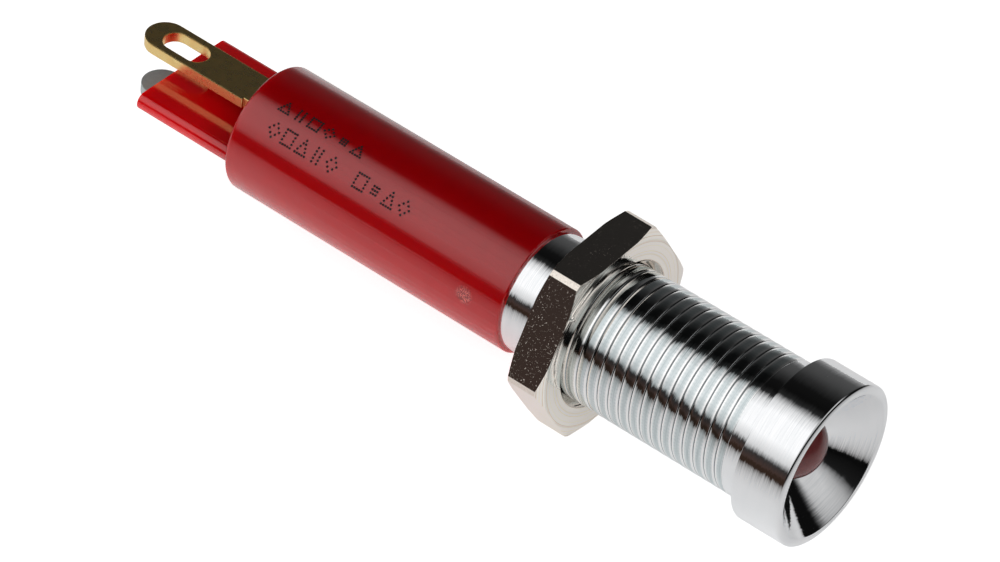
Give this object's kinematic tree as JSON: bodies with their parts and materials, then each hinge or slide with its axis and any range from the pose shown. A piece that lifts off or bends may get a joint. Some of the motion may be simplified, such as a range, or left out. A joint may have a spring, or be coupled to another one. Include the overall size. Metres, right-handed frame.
{
  "type": "panel pilot light",
  "caption": "Slim chromed panel pilot light with a recessed LED in a reflector bezel, a threaded barrel with a hexagon nut, a moulded rear shell and slotted solder tabs parted by a barrier.",
  "frame": {"origin": "axis of the barrel at the bezel's back face, which seats on the panel", "axes": "+Y along the barrel, back to the terminals, so the light faces -Y; +Z square to the barrier plate, towards the positive terminal; +X across"},
  "size_m": [0.0124, 0.0469, 0.0114],
  "materials": {
    "chrome": "bright chrome plate over turned brass",
    "nickel": "nickel plate, fine turning marks",
    "shell_plastic": "semi-gloss moulding",
    "lens_epoxy": "tinted diffused epoxy",
    "gold_plate": "gold flash",
    "tin_plate": "matt tin",
    "lead_frame": "silvered",
    "chip": "sawn crystal",
    "silicone": "matt",
    "nylon": "moulded",
    "resistor_lacquer": "lacquer",
    "tinned_wire": "tinned copper",
    "diode_glass": "clear",
    "shrink_sleeve": "matt",
    "solder": "bright",
    "potting_epoxy": "cast"
  },
  "bodies": {
    "indicator_body": {"housing": "chrome", "rear_shell": "shell_plastic", "terminal_positive": "gold_plate", "terminal_negative": "tin_plate", "led_lens": "lens_epoxy", "led_cathode": "lead_frame", "led_anode": "lead_frame", "led_chip": "chip", "lens_seal": "silicone", "led_holder": "nylon", "resistor_body": "resistor_lacquer", "resistor_front_lead": "tinned_wire", "resistor_rear_lead": "tinned_wire", "diode_body": "diode_glass", "diode_front_lead": "tinned_wire", "diode_rear_lead": "tinned_wire", "insulating_sleeve": "shrink_sleeve", "diode_side_sleeve": "shrink_sleeve", "anode_joint": "solder", "cathode_joint": "solder", "positive_joint": "solder", "negative_joint": "solder", "potting": "potting_epoxy"},
    "lock_nut": {"hex_nut": "nickel"}
  },
  "joints": [
    {"name": "nut_travel", "type": "slide", "parent": "indicator_body", "child": "lock_nut", "axis": [0, 1, 0], "range_m": [-0.0103, 0.002]}
  ]
}
